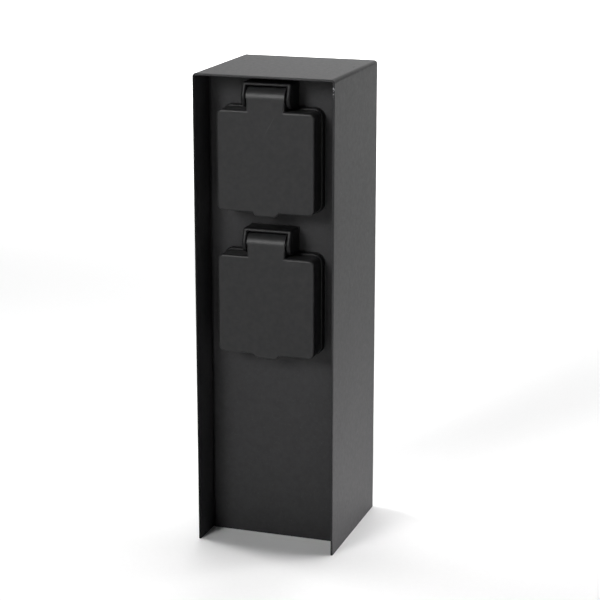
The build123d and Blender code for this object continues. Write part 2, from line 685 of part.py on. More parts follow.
def make_lid():
    """A square cap with a tongue, which bends back over the pin, and a thumb tab at the bottom."""
    lid = upright_plate(lid_side, lid_side, lid_corner, lid_front_y, lid_rear_y)
    inner = lid_side - 2 * lid_skirt
    tip_z = -lid_side / 2 - tab_drop
    root_z = -lid_side / 2 + lid_edge
    corners = [(-tab_root / 2, root_z), (-tab_tip / 2, tip_z), (tab_tip / 2, tip_z), (tab_root / 2, root_z)]
    front_on = Plane(origin=(0, lid_front_y + lid_skin, 0), x_dir=(1, 0, 0), z_dir=(0, -1, 0))
    tab = make_face(Polyline(*corners, close=True))
    tab = fillet(tab.vertices().sort_by(Axis.Y)[:2], tab_corner)
    lid += extrude(front_on * tab, amount=lid_skin)
    half = tongue_width / 2
    lid += block(-half, half, lid_front_y, lid_front_y + barrel_wall, lid_side / 2 - lid_edge - 1, pin_z)
    front_edges = [e for e in lid.edges() if abs(e.center().Y - lid_front_y) < fit_gap
                   and abs(e.center().Z - pin_z) > fit_gap]
    lid = fillet(front_edges, lid_edge)
    lid -= upright_plate(inner, inner, lid_corner - lid_skirt, lid_front_y + lid_skin, lid_rear_y + 1)
    barrel = rod_x(barrel_radius, -half, half, pin_y, pin_z)
    barrel -= rod_x(barrel_radius - barrel_wall, -half - 1, half + 1, pin_y, pin_z)
    barrel -= block(-half - 1, half + 1, pin_y - 2 * barrel_radius, pin_y + 2 * barrel_radius,
                    pin_z - 2 * barrel_radius, pin_z)
    lid += barrel
    for ear_x in (spring_ear_x, half - ear_width):
        lid += rod_x(barrel_radius, ear_x, ear_x + ear_width, pin_y, pin_z)
    spring_hole = spring_end(1)
    lid -= rod_x(spring_wire + spring_hole_gap, spring_ear_x - 1, spring_ear_x + spring_hole_depth,
                 spring_hole.Y, spring_hole.Z)
    return lid - rod_x(pin_radius + pin_running_gap, -half - 1, half + 1, pin_y, pin_z)


def make_lid_seal():
    seal_y0 = lid_front_y + lid_skin + fit_gap
    seal_y1 = lid_front_y + lid_skin + seal_ring_thickness
    ring = rod_y(collar_radius, seal_y0, seal_y1, 0, 0)
    return ring - rod_y(well_radius - seal_ring_inset, seal_y0 - 1, seal_y1 + 1, 0, 0)


def make_hinge_pin():
    pin = rod_x(pin_radius, -hood_half + pin_set_in, hood_half - pin_cover - fit_gap, pin_y, pin_z)
    return chamfer(pin.edges().filter_by(GeomType.CIRCLE), pin_chamfer)


def arcs_between(start, start_way, end, end_way):
    """Two arcs that leave start along start_way, meet each other smoothly and reach end along end_way."""
    across = end - start
    ways = start_way + end_way
    spread = 2 * (1 - start_way.dot(end_way))
    along = across.dot(ways)
    reach = (math.sqrt(along * along + spread * across.dot(across)) - along) / spread
    first = start + start_way * reach
    second = end - end_way * reach
    middle = (first + second) / 2
    return [Edge.make_tangent_arc(start, start_way, middle),
            Edge.make_tangent_arc(middle, second - first, end)]


def spring_place(share):
    """A point of the coil, from 0 at the cheek's end to 1 at the ear's end."""
    angle = 2 * math.pi * spring_turns * share
    return Vector(spring_x + spring_pitch * spring_turns * (share - 0.5),
                  pin_y + spring_radius * math.cos(angle), pin_z + spring_radius * math.sin(angle))


def spring_way(share):
    angle = 2 * math.pi * spring_turns * share
    around = 2 * math.pi * spring_radius
    return Vector(spring_pitch, -around * math.sin(angle), around * math.cos(angle)).normalized()


def spring_end(share):
    """Where the wire, past the coil's end, has turned to run along the pin."""
    side = -1 if share == 0 else 1
    return spring_place(share) + (spring_way(share) + Vector(1, 0, 0)) * (side * spring_end_bend)


def make_lid_spring():
    """A torsion spring round the pin, with one end in the hood's cheek and the other in the lid's ear."""
    along = Vector(1, 0, 0)
    ends = (spring_end(0), spring_end(1))
    cheek_end = Vector(-hood_inner_half - spring_hole_depth + wire_end_gap, ends[0].Y, ends[0].Z)
    ear_end = Vector(spring_ear_x + spring_hole_depth - wire_end_gap, ends[1].Y, ends[1].Z)
    edges = [Edge.make_line(cheek_end, ends[0])]
    edges += arcs_between(ends[0], along, spring_place(0), spring_way(0))
    steps = 4 * spring_turns
    for step in range(steps):
        here = step / steps
        there = (step + 1) / steps
        edges += arcs_between(spring_place(here), spring_way(here), spring_place(there), spring_way(there))
    edges += arcs_between(spring_place(1), spring_way(1), ends[1], along)
    edges.append(Edge.make_line(ends[1], ear_end))
    path = Wire(edges)
    spring = sweep(Plane(origin=cheek_end, z_dir=along) * Circle(spring_wire), path=path)
    share = spring.volume / (math.pi * spring_wire ** 2 * path.length)
    print("spring: gap between turns", round(spring_pitch - 2 * spring_wire, 2),
          "volume over section times length", round(share, 4))
    return spring


def link_route(x, from_z, to_z, bow):
    """A wire's route straight up from one terminal to the next, bowed out to the rear."""
    middle = (from_z + to_z) / 2
    return [(x, terminal_y, from_z), (x, terminal_y, from_z + wire_rise), (x, terminal_y + bow, middle),
            (x, terminal_y, to_z - wire_rise), (x, terminal_y, to_z)]


def supply_route(block_x, x, to_z):
    """A wire's route up from the terminal block to the lower socket."""
    from_z = block_top - wire_hole_depth + wire_end_gap
    return [(block_x, block_y, from_z), (block_x, block_y, from_z + supply_rise),
            (x, terminal_y, to_z - supply_end), (x, terminal_y, to_z)]


def make_wires():
    into = terminal_size / 2 - wire_end_gap
    runs = (("live", pole_xs[0], -pin_spacing / 2, 0.0), ("neutral", pole_xs[2], pin_spacing / 2, 0.0),
            ("earth", pole_xs[1], 0.0, earth_terminal_z))
    for label, block_x, x, offset in runs:
        low = sockets["lower"] + offset
        high = sockets["upper"] + offset
        lower = supply_route(block_x, x, low - terminal_size / 2 + into)
        upper = link_route(x, low + terminal_size / 2 - into, high - terminal_size / 2 + into, wire_bow)
        save(f"{label}_wire_lower", wire(lower, f"{label} lower"))
        save(f"{label}_wire_upper", wire(upper, f"{label} upper"))
    rear = block_y + block_width / 2
    bond = [(0, rear - wire_hole_depth + wire_end_gap, bond_z), (0, rear + bond_run, bond_z),
            (bond_bend_x, stud_y, bond_z), (stud_x + lug_radius + wire_end_gap, stud_y, bond_z)]
    save("earth_bond_wire", wire(bond, "earth bond"))


def save_socket(name, centre_z):
    pieces = {
        "frame": make_frame(),
        "gasket": make_gasket(),
        "cup": make_cup(),
        "earth_strap": make_earth_strap(),
        "live_contact": make_contact(-pin_spacing / 2),
        "neutral_contact": make_contact(pin_spacing / 2),
        "contact_block": make_contact_block(),
        "centre_screw": make_centre_screw(),
        "lid": make_lid(),
        "lid_seal": make_lid_seal(),
        "hinge_pin": make_hinge_pin(),
        "lid_spring": make_lid_spring(),
    }
    for piece, shape in pieces.items():
        save(f"{name}_{piece}", Pos(0, 0, centre_z) * shape)
    save(f"{name}_terminal_screws", make_terminal_screws(centre_z))
    save(f"{name}_fixing_screws", make_fixing_screws(centre_z))
    save(f"{name}_fixing_nuts", make_fixing_nuts(centre_z))


save("shroud", make_shroud())
save("front_panel", make_front_panel())
save("rear_cover", make_rear_cover())
save("rear_cover_seals", make_cover_seals())
save("rear_cover_screws", make_cover_screws())
save("rivet_nuts", make_rivet_nuts())
save("base_plate", make_base_plate())
save("cable_grommet", make_cable_grommet())
save("terminal_block", make_terminal_block())
save("terminal_block_screws", make_block_screws())
save("clamp_screws", make_block_clamp_screws())
save("earth_stud", make_earth_stud())
save("earth_ring_lug", make_ring_lug())
save("earth_nut", make_earth_nut())
make_wires()
for socket_name, socket_z in sockets.items():
    save_socket(socket_name, socket_z)
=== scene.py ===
# %% [markdown]
# # Dressing a garden socket post in Blender
#
# The post is a folded sheet of steel, powder coated in a dark grey, with two plastic sockets in a
# panel that is set back in its open front. Its solids come from CAD, already in metres and in their
# places. This lesson gives each of them the finish that the real one has, and rebuilds in Blender
# the pieces whose looks depend on detail that the solids leave out.

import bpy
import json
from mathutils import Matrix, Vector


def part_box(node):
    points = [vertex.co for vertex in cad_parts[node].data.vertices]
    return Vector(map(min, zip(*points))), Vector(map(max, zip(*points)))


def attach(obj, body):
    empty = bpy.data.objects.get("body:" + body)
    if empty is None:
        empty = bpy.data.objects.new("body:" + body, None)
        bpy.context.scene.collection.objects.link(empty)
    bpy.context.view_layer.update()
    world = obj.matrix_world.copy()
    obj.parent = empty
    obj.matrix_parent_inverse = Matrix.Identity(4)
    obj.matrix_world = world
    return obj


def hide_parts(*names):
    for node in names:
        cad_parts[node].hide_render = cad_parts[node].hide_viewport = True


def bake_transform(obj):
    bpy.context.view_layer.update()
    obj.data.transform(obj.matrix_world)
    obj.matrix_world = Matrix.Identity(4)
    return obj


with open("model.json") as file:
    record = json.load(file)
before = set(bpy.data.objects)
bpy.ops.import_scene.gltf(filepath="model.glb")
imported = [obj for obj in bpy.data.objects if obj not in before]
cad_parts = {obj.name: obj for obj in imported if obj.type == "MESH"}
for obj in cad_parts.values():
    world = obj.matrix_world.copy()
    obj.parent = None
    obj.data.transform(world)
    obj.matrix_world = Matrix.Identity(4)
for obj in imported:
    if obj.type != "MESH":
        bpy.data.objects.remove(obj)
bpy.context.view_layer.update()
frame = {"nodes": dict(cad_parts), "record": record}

# %% Modules and one short name
import json
import math

import bmesh
import bpy
from mathutils import Vector

MM = 0.001
for plain in list(bpy.data.materials):  # the solids arrive in flat colours, which this lesson replaces
    bpy.data.materials.remove(plain)

# %% [markdown]
# ## The camera
#
# A product photograph like this one is taken with a long lens from about a metre away, a little to
# the right and a little above. The eye and the point that it looks at were found by matching the
# post's corners, so the picture's frame is right before anything is dressed.

# %% Stand the camera where the photograph was taken
eye = Vector((0.3128, -0.9101, 0.3859))
looked_at = Vector((0.00706, 0.0, 0.12641))
camera_data = bpy.data.cameras.new("camera")
camera_data.sensor_width = 36
camera_data.lens = 112.78
camera = bpy.data.objects.new("camera", camera_data)
camera.location = eye
camera.rotation_euler = (looked_at - eye).to_track_quat("-Z", "Y").to_euler()
bpy.context.scene.collection.objects.link(camera)
bpy.context.scene.camera = camera
print("the camera is", round((looked_at - eye).length, 3), "m from the post")

# %% [markdown]
# ## Floor and light
#
# The post was taken on white, and all round it even the floor is white, so the floor needs lamps of
# its own: on the left, on the right and in front, with grids that aim them past the post. Behind, a
# wash from above keeps it white up to the top of the picture, and two low soft boxes are there to be
# mirrored at a glancing angle, the left one by the roof and the right one by the bend beside it. The
# key is a soft box in front on the left, aimed at the top, so it fades towards the foot. A weak fill
# and a small lamp at the foot lift the darkest parts, and there is hardly any light from the sky, so
# the left wall and the gaps of the hinges stay as dark as they are on a real dark object. The watts
# were found by rendering each lamp alone and fitting the sum to the greys of the photograph.

# %% Lay the floor
def floor_corners(half):
    return [(-half, -half), (half, -half), (half, half), (-half, half)]


def make_floor(half):
    mesh = bpy.data.meshes.new("floor")
    mesh.from_pydata([(x, y, 0.0) for x, y in floor_corners(half)], [], [(0, 1, 2, 3)])
    made = bpy.data.objects.new("floor", mesh)
    bpy.context.scene.collection.objects.link(made)
    return made


floor_half = 6.0
floor = make_floor(floor_half)
print("the floor is", floor.dimensions.x, "m wide")

# %% [markdown]
# A low view looks past the floor, so white paper hangs all round at its edge. It glows evenly, as
# paper lit from behind does, and it is only a backdrop: the rays that light the post pass it by, so
# the walls of a dark object stay dark.

# %% Hang the backdrop
def make_backdrop(half, height):
    mesh = bpy.data.meshes.new("backdrop")
    mesh.from_pydata([(x, y, z) for z in (0.0, height) for x, y in floor_corners(half)], [],
                     [(i, i + 4, (i + 1) % 4 + 4, (i + 1) % 4) for i in range(4)])
    paper = bpy.data.materials.new("backdrop_paper")
    paper.use_nodes = True
    shader = paper.node_tree.nodes["Principled BSDF"]
    shader.inputs["Emission Color"].default_value = (1.0, 1.0, 1.0, 1.0)
    shader.inputs["Emission Strength"].default_value = 1.0
    paper.cycles.emission_sampling = "NONE"
    mesh.materials.append(paper)
    made = bpy.data.objects.new("backdrop", mesh)
    bpy.context.scene.collection.objects.link(made)
    made.visible_diffuse = False
    made.visible_glossy = False
    made.visible_shadow = False
    return made


backdrop_height = 2.4
backdrop = make_backdrop(floor_half, backdrop_height)
print("the backdrop is", round(backdrop.dimensions.z, 2), "m high")

# %% Hang the lights
def soft_lamp(name, place, aim, size, watts, spread, tint=(1.0, 1.0, 1.0)):
    """A square soft box, and a grid on it that keeps its light within the spread, in degrees."""
    data = bpy.data.lights.new(name, "AREA")
    data.color = tint
    data.spread = math.radians(spread)
    data.shape = "SQUARE"
    data.size = size
    data.energy = watts
    lamp = bpy.data.objects.new(name, data)
    lamp.location = place
    lamp.rotation_euler = (Vector(aim) - Vector(place)).to_track_quat("-Z", "Y").to_euler()
    bpy.context.scene.collection.objects.link(lamp)


def set_sky(brightness):
    sky = bpy.data.worlds.new("studio")
    sky.use_nodes = True
    background = sky.node_tree.nodes["Background"]
    background.inputs["Color"].default_value = (1.0, 1.0, 1.0, 1.0)
    background.inputs["Strength"].default_value = brightness
    bpy.context.scene.world = sky


set_sky(0.04)
top = (0.0, 0.0, 0.24)
middle = (0.0, 0.0, 0.15)
foot = (0.0375, 0.0, 0.01)
behind = (-0.4, 2.4, 0.0)
warm = (1.0, 0.965, 0.985)
soft_lamp("lamp_key", (-0.30, -0.75, 0.62), top, size=0.48, watts=0.65, spread=35)
soft_lamp("lamp_fill", (0.30, -0.60, 0.12), (0.02, -0.03, 0.18), size=0.20, watts=0.015, spread=20)
soft_lamp("lamp_foot", (0.7, 0.15, 0.06), foot, size=0.15, watts=0.14, spread=22, tint=warm)
soft_lamp("lamp_floor_left", (-1.1, 0.2, 0.8), (-0.25, -0.1, 0.0), size=0.5, watts=1.33, spread=50)
soft_lamp("lamp_floor_right", (0.9, 0.5, 1.1), (0.2, -0.2, 0.0), size=0.5, watts=0.76, spread=45)
soft_lamp("lamp_floor_front", (0.0, -1.8, 1.3), (0.0, -1.6, 0.0), size=0.8, watts=9.0, spread=70)
soft_lamp("lamp_behind", (-0.6, 3.0, 0.85), middle, size=1.7, watts=6.8, spread=120)
soft_lamp("lamp_behind_right", (0.75, 3.0, 1.05), middle, size=1.0, watts=2.1, spread=120)
soft_lamp("lamp_wash", (-0.4, 2.2, 2.6), behind, size=2.6, watts=86.0, spread=100)
bpy.context.scene.view_settings.view_transform = "Standard"

# %% [markdown]
# ## Helpers for finishes
#
# Every finish starts the same way: a Principled shader, and the Object coordinates that a pattern
# is laid out in. Those are in metres here, so a noise of scale 2000 has grains of half a millimetre.
# Two small helpers make a node and join it to the next, and the others name what finishes have in
# common: noise, a range of values, a blend of two colours, a sum and a bump.

# %% A finish and its nodes
class Finish:
    """A material with its shader and Object coordinates."""

    def __init__(self, name):
        self.material = bpy.data.materials.new(name)
        self.material.use_nodes = True
        self.nodes = self.material.node_tree.nodes
        self.shader = self.nodes["Principled BSDF"]
        self.place = self.nodes.new("ShaderNodeTexCoord").outputs["Object"]

    def add(self, kind, settings=(), **inputs):
        made = self.nodes.new(kind)
        for key, value in dict(settings).items():
            setattr(made, key, value)
        for key, value in inputs.items():
            self.put(value, made.inputs[key.replace("_", " ")])
        return made

    def put(self, value, socket):
        """A socket as value is linked, and anything else is set on the socket itself."""
        if isinstance(value, bpy.types.NodeSocket):
            self.material.node_tree.links.new(value, socket)
        elif isinstance(value, tuple) and socket.type == "RGBA" and len(value) == 3:
            socket.default_value = (*value, 1.0)
        else:
            socket.default_value = value

    def set(self, **inputs):
        for key, value in inputs.items():
            self.put(value, self.shader.inputs[key.replace("_", " ")])

    def noise(self, scale, detail=2.0, roughness=0.5, place=None):
        return self.add("ShaderNodeTexNoise", Vector=place or self.place, Scale=scale, Detail=detail,
                        Roughness=roughness).outputs["Fac"]

    def stretch(self, scale):
        """The Object coordinates, drawn out along an axis."""
        return self.add("ShaderNodeMapping", Vector=self.place, Scale=scale).outputs["Vector"]

    def between(self, amount, low, high, from_low=0.0, from_high=1.0):
        made = self.add("ShaderNodeMapRange", Value=amount, From_Min=from_low, From_Max=from_high,
                        To_Min=low, To_Max=high)
        return made.outputs["Result"]

    def blend_colours(self, amount, first, second):
        made = self.add("ShaderNodeMix", {"data_type": "RGBA"})
        self.put(amount, made.inputs[0])
        self.put(first, made.inputs[6])
        self.put(second, made.inputs[7])
        return made.outputs[2]

    def maths(self, operation, *values):
        made = self.add("ShaderNodeMath", {"operation": operation})
        for socket, value in zip(made.inputs, values):
            self.put(value, socket)
        return made.outputs[0]

    def bump(self, height, strength, depth, under=None):
        made = self.add("ShaderNodeBump", Height=height, Strength=strength, Distance=depth)
        if under is not None:
            self.put(under, made.inputs["Normal"])
        return made.outputs["Normal"]


print("ready to mix finishes")

# %% [markdown]
# ## Powder coat
#
# Powder is sprayed on dry and melts to a hard skin. A fine-textured one keeps a grain of under a
# millimetre, a few paler specks, and a broad sheen that brightens towards a glancing view. The
# grain is bump from fine noise over a slower orange peel, and the colour drifts very little.

# %% Mix the powder coat
coat_grey = (0.0190, 0.0188, 0.0198)
coat_drift = 0.24
speck_grey = (0.055, 0.055, 0.057)
coat_shine = 0.29


def coat_skin(coat):
    """The colour, roughness and bump that every coated sheet of the post shares."""
    grain = coat.noise(1500.0, 3.0, 0.6)
    peel = coat.noise(520.0, 2.0)
    cloud = coat.noise(38.0, 3.0)
    mottle = coat.between(coat.noise(400.0, 2.0), 0.0, 1.0, 0.30, 0.70)
    speck = coat.maths("MULTIPLY", coat.between(grain, 0.0, 1.0, 0.60, 0.74), 0.35)
    patch = coat.maths("ADD", coat.maths("MULTIPLY", cloud, 0.5), coat.maths("MULTIPLY", mottle, 0.5))
    colour = coat.blend_colours(patch, tuple((1.0 - coat_drift) * c for c in coat_grey),
                                tuple((1.0 + coat_drift) * c for c in coat_grey))
    colour = coat.blend_colours(speck, colour, speck_grey)
    rough = coat.between(peel, 0.46, 0.60)
    return colour, rough, coat.bump(grain, 0.40, 0.07 * MM, coat.bump(peel, 0.30, 0.09 * MM))


def make_powder_coat():
    coat = Finish("powder_coat")
    colour, rough, relief = coat_skin(coat)
    coat.set(Base_Color=colour, Roughness=rough, Normal=relief, Specular_IOR_Level=coat_shine)
    return coat.material


powder_coat = make_powder_coat()
print(powder_coat.name, len(powder_coat.node_tree.nodes), "nodes")

# %% [markdown]
# ## The shroud's own coat
#
# The shroud is the part that hands and tools touch. Below the roof, the front edges of its walls are painted
# darker, a painted shade, and are made less shiny: the left one fully, the right one fading out across its
# thickness. The right one is chipped to pale specks near the roof. There is a smear of dirt on the roof,
# drawn out towards the rear, which dulls the coat as well as darkening it. Each mark is a mask on Object
# coordinates, so it stays where it is.

# %% Add the shroud's marks
shroud_low, shroud_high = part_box("shroud")
sheet = 1.2 * MM
edge_depth = 0.45 * MM
# the colour of the painted shade on the walls' front edges below the roof
painted_shade_black = (0.006, 0.006, 0.0065)
chips_start = (2.0 * MM, 3.0 * MM)  # below the roof: where the chips start, and where they are full
chips_end = (10.0 * MM, 8.0 * MM)  # below the roof: where they end, and where they are still full
chips_reach = (1.3 * MM, 0.5 * MM)  # in from the right face: how far they reach, and how far they are full
chip_grey = (0.24, 0.24, 0.25)
dirt_place = (33.3 * MM, 8.6 * MM, shroud_high[2])
dirt_radius = 0.50 * MM
dirt_squeeze = (1.0, 0.2, 1.0)  # of the space that the dirt is round in
dirt_black = (0.006, 0.006, 0.006)
dull_shine = 0.12


def make_shroud_coat():
    coat = Finish("shroud_coat")
    colour, rough, relief = coat_skin(coat)
    front = shroud_low[1]
    right = shroud_high[0]
    roof = shroud_high[2]
    place = coat.add("ShaderNodeSeparateXYZ", Vector=coat.place).outputs
    edge = coat.between(place["Y"], 1.0, 0.0, front + 0.6 * edge_depth, front + edge_depth)
    at_right = coat.between(place["X"], 0.0, 1.0, right - chips_reach[0], right - chips_reach[1])
    below = coat.between(place["Z"], 1.0, 0.0, roof - chips_start[1], roof - chips_start[0])
    above = coat.between(place["Z"], 0.0, 1.0, roof - chips_end[0], roof - chips_end[1])
    walls = coat.between(place["Z"], 1.0, 0.0, roof - sheet - 0.2 * MM, roof - sheet)
    # painted shade: the walls' front edges below the roof are darkened and made less shiny, the left one
    # fully and the right one fading out across its thickness
    painted_edge_shade = coat.maths("MULTIPLY", coat.maths("MULTIPLY", edge, walls), coat.maths("SUBTRACT", 1.0, at_right))
    colour = coat.blend_colours(painted_edge_shade, colour, painted_shade_black)
    flakes = coat.between(coat.noise(1300.0, 2.0, 0.6), 0.0, 1.0, 0.52, 0.58)
    chipped = flakes
    for limit in (edge, at_right, below, above):
        chipped = coat.maths("MULTIPLY", chipped, limit)
    colour = coat.blend_colours(chipped, colour, chip_grey)
    away = coat.add("ShaderNodeVectorMath", {"operation": "DISTANCE"})
    coat.put(coat.stretch(dirt_squeeze), away.inputs[0])
    coat.put(tuple(a * b for a, b in zip(dirt_place, dirt_squeeze)), away.inputs[1])
    dirt = coat.between(away.outputs["Value"], 1.0, 0.0, 0.5 * dirt_radius, dirt_radius)
    colour = coat.blend_colours(dirt, colour, dirt_black)
    coat.set(Base_Color=colour, Roughness=rough, Normal=relief,
             Specular_IOR_Level=coat.between(coat.maths("MAXIMUM", painted_edge_shade, dirt), coat_shine, dull_shine))
    return coat.material


shroud_coat = make_shroud_coat()
print(shroud_coat.name, len(shroud_coat.node_tree.nodes), "nodes")

# %% [markdown]
# ## The plastics
#
# The flange and its hood are a smooth, nearly black moulding, whose edges catch the light in soft
# lines, because no edge of a moulding is truly sharp. The lids are a shade lighter and satin: a
# mould with a spark-eroded surface gives them a grain too fine to see, only to feel. The upper one
# has a hairline scratch.

# %% Mix the plastics
def scratch_mask(skin, start, end, width):
    """1 along a hairline in the face that start and end lie in, and 0 everywhere else."""
    start, end = Vector(start), Vector(end)
    along = (end - start).normalized()
    depth = Vector((0.0, 1.0, 0.0))
    across = along.cross(depth)
    masks = []
    for direction, low, high, fade in (
            (along, start.dot(along), end.dot(along), 12 * width),
            (across, start.dot(across) - width, start.dot(across) + width, width),
            (depth, start.dot(depth) - width, start.dot(depth) + width, width)):
        dot = skin.add("ShaderNodeVectorMath", {"operation": "DOT_PRODUCT"}, Vector=skin.place)
        skin.put(tuple(direction), dot.inputs[1])
        value = dot.outputs["Value"]
        masks.append(skin.maths("MULTIPLY", skin.between(value, 0.0, 1.0, low, low + fade),
                                skin.between(value, 1.0, 0.0, high - fade, high)))
    return skin.maths("MULTIPLY", masks[0], skin.maths("MULTIPLY", masks[1], masks[2]))


def make_moulding(name, dark, light, rough, grain, grain_depth, shine=0.5, scratch=None, edge_radius=0.0):
    """A moulded skin, whose sharp edges look rounded to edge_radius where that isn't zero."""
    skin = Finish(name)
    rounded = None
    if edge_radius:
        rounded = skin.add("ShaderNodeBevel", {"samples": 8}, Radius=edge_radius).outputs[0]
    cloud = skin.between(skin.noise(420.0, 3.0), 0.0, 1.0, 0.32, 0.68)
    colour = skin.blend_colours(cloud, dark, light)
    if scratch:
        colour = skin.blend_colours(scratch_mask(skin, *scratch), colour, scratch_grey)
    relief = skin.bump(skin.noise(grain, 3.0, 0.55), 0.2, grain_depth, rounded)
    skin.set(Base_Color=colour, Roughness=skin.between(skin.noise(220.0, 2.0), *rough),
             Specular_IOR_Level=shine, Normal=relief)
    return skin.material


lid_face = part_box("upper_lid")[0][1]
scratch_start = (5.44 * MM, lid_face, 230.03 * MM)
scratch_end = (-0.43 * MM, lid_face, 219.61 * MM)
scratch_width = 0.24 * MM
scratch_grey = (0.030, 0.030, 0.031)
socket_plastic = make_moulding("socket_plastic", (0.0060, 0.0060, 0.0064), (0.0080, 0.0080, 0.0084),
                               rough=(0.36, 0.44), grain=1800.0, grain_depth=0.03 * MM, shine=0.12,
                               edge_radius=0.9 * MM)
lid_plastic = make_moulding("lid_plastic", (0.0137, 0.0137, 0.0142), (0.0181, 0.0181, 0.0186),
                            rough=(0.40, 0.48), grain=3200.0, grain_depth=0.04 * MM, shine=0.26,
                            scratch=(scratch_start, scratch_end, scratch_width))
terminal_plastic = make_moulding("terminal_plastic", (0.66, 0.65, 0.60), (0.74, 0.73, 0.69),
                                 rough=(0.35, 0.50), grain=1500.0, grain_depth=0.03 * MM)
seal_rubber = make_moulding("seal_rubber", (0.012, 0.012, 0.012), (0.022, 0.021, 0.020),
                            rough=(0.70, 0.88), grain=2400.0, grain_depth=0.08 * MM)
print("plastics:", socket_plastic.name, lid_plastic.name, terminal_plastic.name, seal_rubber.name)

# %% [markdown]
# ## The metals
#
# Screws, nuts and the hinge pins are zinc plated: bluish, with fine turning marks and a faint
# cloudiness. The contacts are brass, which dulls unevenly.

# %% Mix the metals
def make_metal(name, pale, deep, rough, grain):
    metal = Finish(name)
    cloud = metal.noise(350.0, 4.0, 0.6)
    marks = metal.noise(1.0, 3.0, 0.6, metal.stretch(grain))
    metal.set(Base_Color=metal.blend_colours(cloud, pale, deep), Metallic=1.0,
              Roughness=metal.between(marks, *rough), Normal=metal.bump(marks, 0.15, 0.03 * MM))
    return metal.material


zinc_steel = make_metal("zinc_steel", (0.62, 0.63, 0.66), (0.42, 0.43, 0.46), rough=(0.24, 0.42),
                        grain=(900.0, 4500.0, 900.0))
brass = make_metal("brass", (0.78, 0.58, 0.26), (0.55, 0.38, 0.16), rough=(0.22, 0.45),
                   grain=(2500.0, 900.0, 2500.0))
print("metals:", zinc_steel.name, brass.name)

# %% [markdown]
# ## The wires
#
# Single cores: brown for live, blue for neutral, and green with yellow for earth. The last has a
# stripe down each side, which follows the insulation, so the side that a point faces picks its
# colour.

# %% Mix the wires' insulation
def make_insulation(name, colour, stripe=None):
    skin = Finish(name)
    cloud = skin.noise(180.0, 2.0)
    shade = skin.blend_colours(cloud, colour, tuple(0.8 * c for c in colour))
    if stripe:
        outward = skin.add("ShaderNodeNewGeometry").outputs["Normal"]
        facing = skin.add("ShaderNodeSeparateXYZ", Vector=outward).outputs["X"]
        side = skin.between(skin.maths("ABSOLUTE", facing), 0.0, 1.0, 0.66, 0.70)
        shade = skin.blend_colours(side, shade, stripe)
    skin.set(Base_Color=shade, Roughness=skin.between(cloud, 0.32, 0.44),
             Normal=skin.bump(skin.noise(1500.0, 2.0), 0.1, 0.03 * MM))
    return skin.material


wire_brown = make_insulation("wire_brown", (0.115, 0.045, 0.020))
wire_blue = make_insulation("wire_blue", (0.030, 0.120, 0.420))
wire_green = make_insulation("wire_green", (0.050, 0.260, 0.040), (0.720, 0.560, 0.030))
print("wires:", wire_brown.name, wire_blue.name, wire_green.name)

# %% [markdown]
# ## Dress the CAD nodes
#
# Each node names its finish in the record, so one loop dresses them all.

# %% Give every node its finish
finishes = {m.name: m for m in (powder_coat, socket_plastic, lid_plastic, terminal_plastic, seal_rubber,
                                zinc_steel, brass, wire_brown, wire_blue, wire_green)}
node_slots = {part["node"]: part["material_slot"] for part in frame["record"]["subparts"]}
for node_name, node in frame["nodes"].items():
    node.data.materials.clear()
    node.data.materials.append(finishes[node_slots[node_name]])
print("dressed", len(frame["nodes"]), "nodes")

# %% [markdown]
# ## Recipes in Geometry Nodes
#
# What follows a rule is made by a Geometry Nodes tree: a few points go in, and the tree turns them
# into a finished mesh. A recipe keeps the tree and its named sizes together.

# %% A recipe and its sizes
class Recipe:
    """A Geometry Nodes tree from bare points to a piece, with named sizes, whose lengths are in metres."""

    def __init__(self, name, **sizes):
        self.tree = bpy.data.node_groups.new(name, "GeometryNodeTree")
        outside = self.tree.interface
        outside.new_socket("Geometry", in_out="INPUT", socket_type="NodeSocketGeometry")
        outside.new_socket("Geometry", in_out="OUTPUT", socket_type="NodeSocketGeometry")
        self.sizes = {}
        for size, value in sizes.items():
            kind = "NodeSocketInt" if isinstance(value, int) else "NodeSocketFloat"
            socket = outside.new_socket(size, in_out="INPUT", socket_type=kind)
            self.sizes[socket.identifier] = value
        self.start = self.tree.nodes.new("NodeGroupInput")
        self.end = self.tree.nodes.new("NodeGroupOutput")

    def size(self, name):
        return self.start.outputs[name]

    def add(self, kind, settings=(), **inputs):
        made = self.tree.nodes.new(kind)
        for key, value in dict(settings).items():
            setattr(made, key, value)
        for key, value in inputs.items():
            self.put(value, made.inputs[key.replace("_", " ")])
        return made

    def put(self, value, socket):
        if isinstance(value, bpy.types.NodeSocket):
            self.tree.links.new(value, socket)
        else:
            socket.default_value = value

    def maths(self, operation, *values):
        made = self.add("ShaderNodeMath", {"operation": operation})
        for socket, value in zip(made.inputs, values):
            self.put(value, socket)
        return made.outputs[0]

    def vector(self, x=0.0, y=0.0, z=0.0):
        return self.add("ShaderNodeCombineXYZ", X=x, Y=y, Z=z).outputs[0]

    def fillet(self, curve, steps, radius):
        return self.add("GeometryNodeFilletCurve", {"mode": "POLY"}, Curve=curve, Count=self.size(steps),
                        Radius=self.size(radius)).outputs[0]

    def sweep(self, path, section):
        """The section carried along the path, with closed ends."""
        return self.add("GeometryNodeCurveToMesh", Curve=path, Profile_Curve=section,
                        Fill_Caps=True).outputs[0]

    def raise_by(self, height, shape):
        return self.add("GeometryNodeTransform", Geometry=shape, Translation=self.vector(z=height)).outputs[0]

    def joined(self, *parts):
        together = self.add("GeometryNodeJoinGeometry")
        for part in parts:
            self.tree.links.new(part, together.inputs[0])
        return together.outputs[0]

    def finish(self, result, material):
        real = self.add("GeometryNodeRealizeInstances", Geometry=result).outputs[0]
        dressed = self.add("GeometryNodeSetMaterial", Geometry=real, Material=material).outputs[0]
        self.tree.links.new(dressed, self.end.inputs[0])


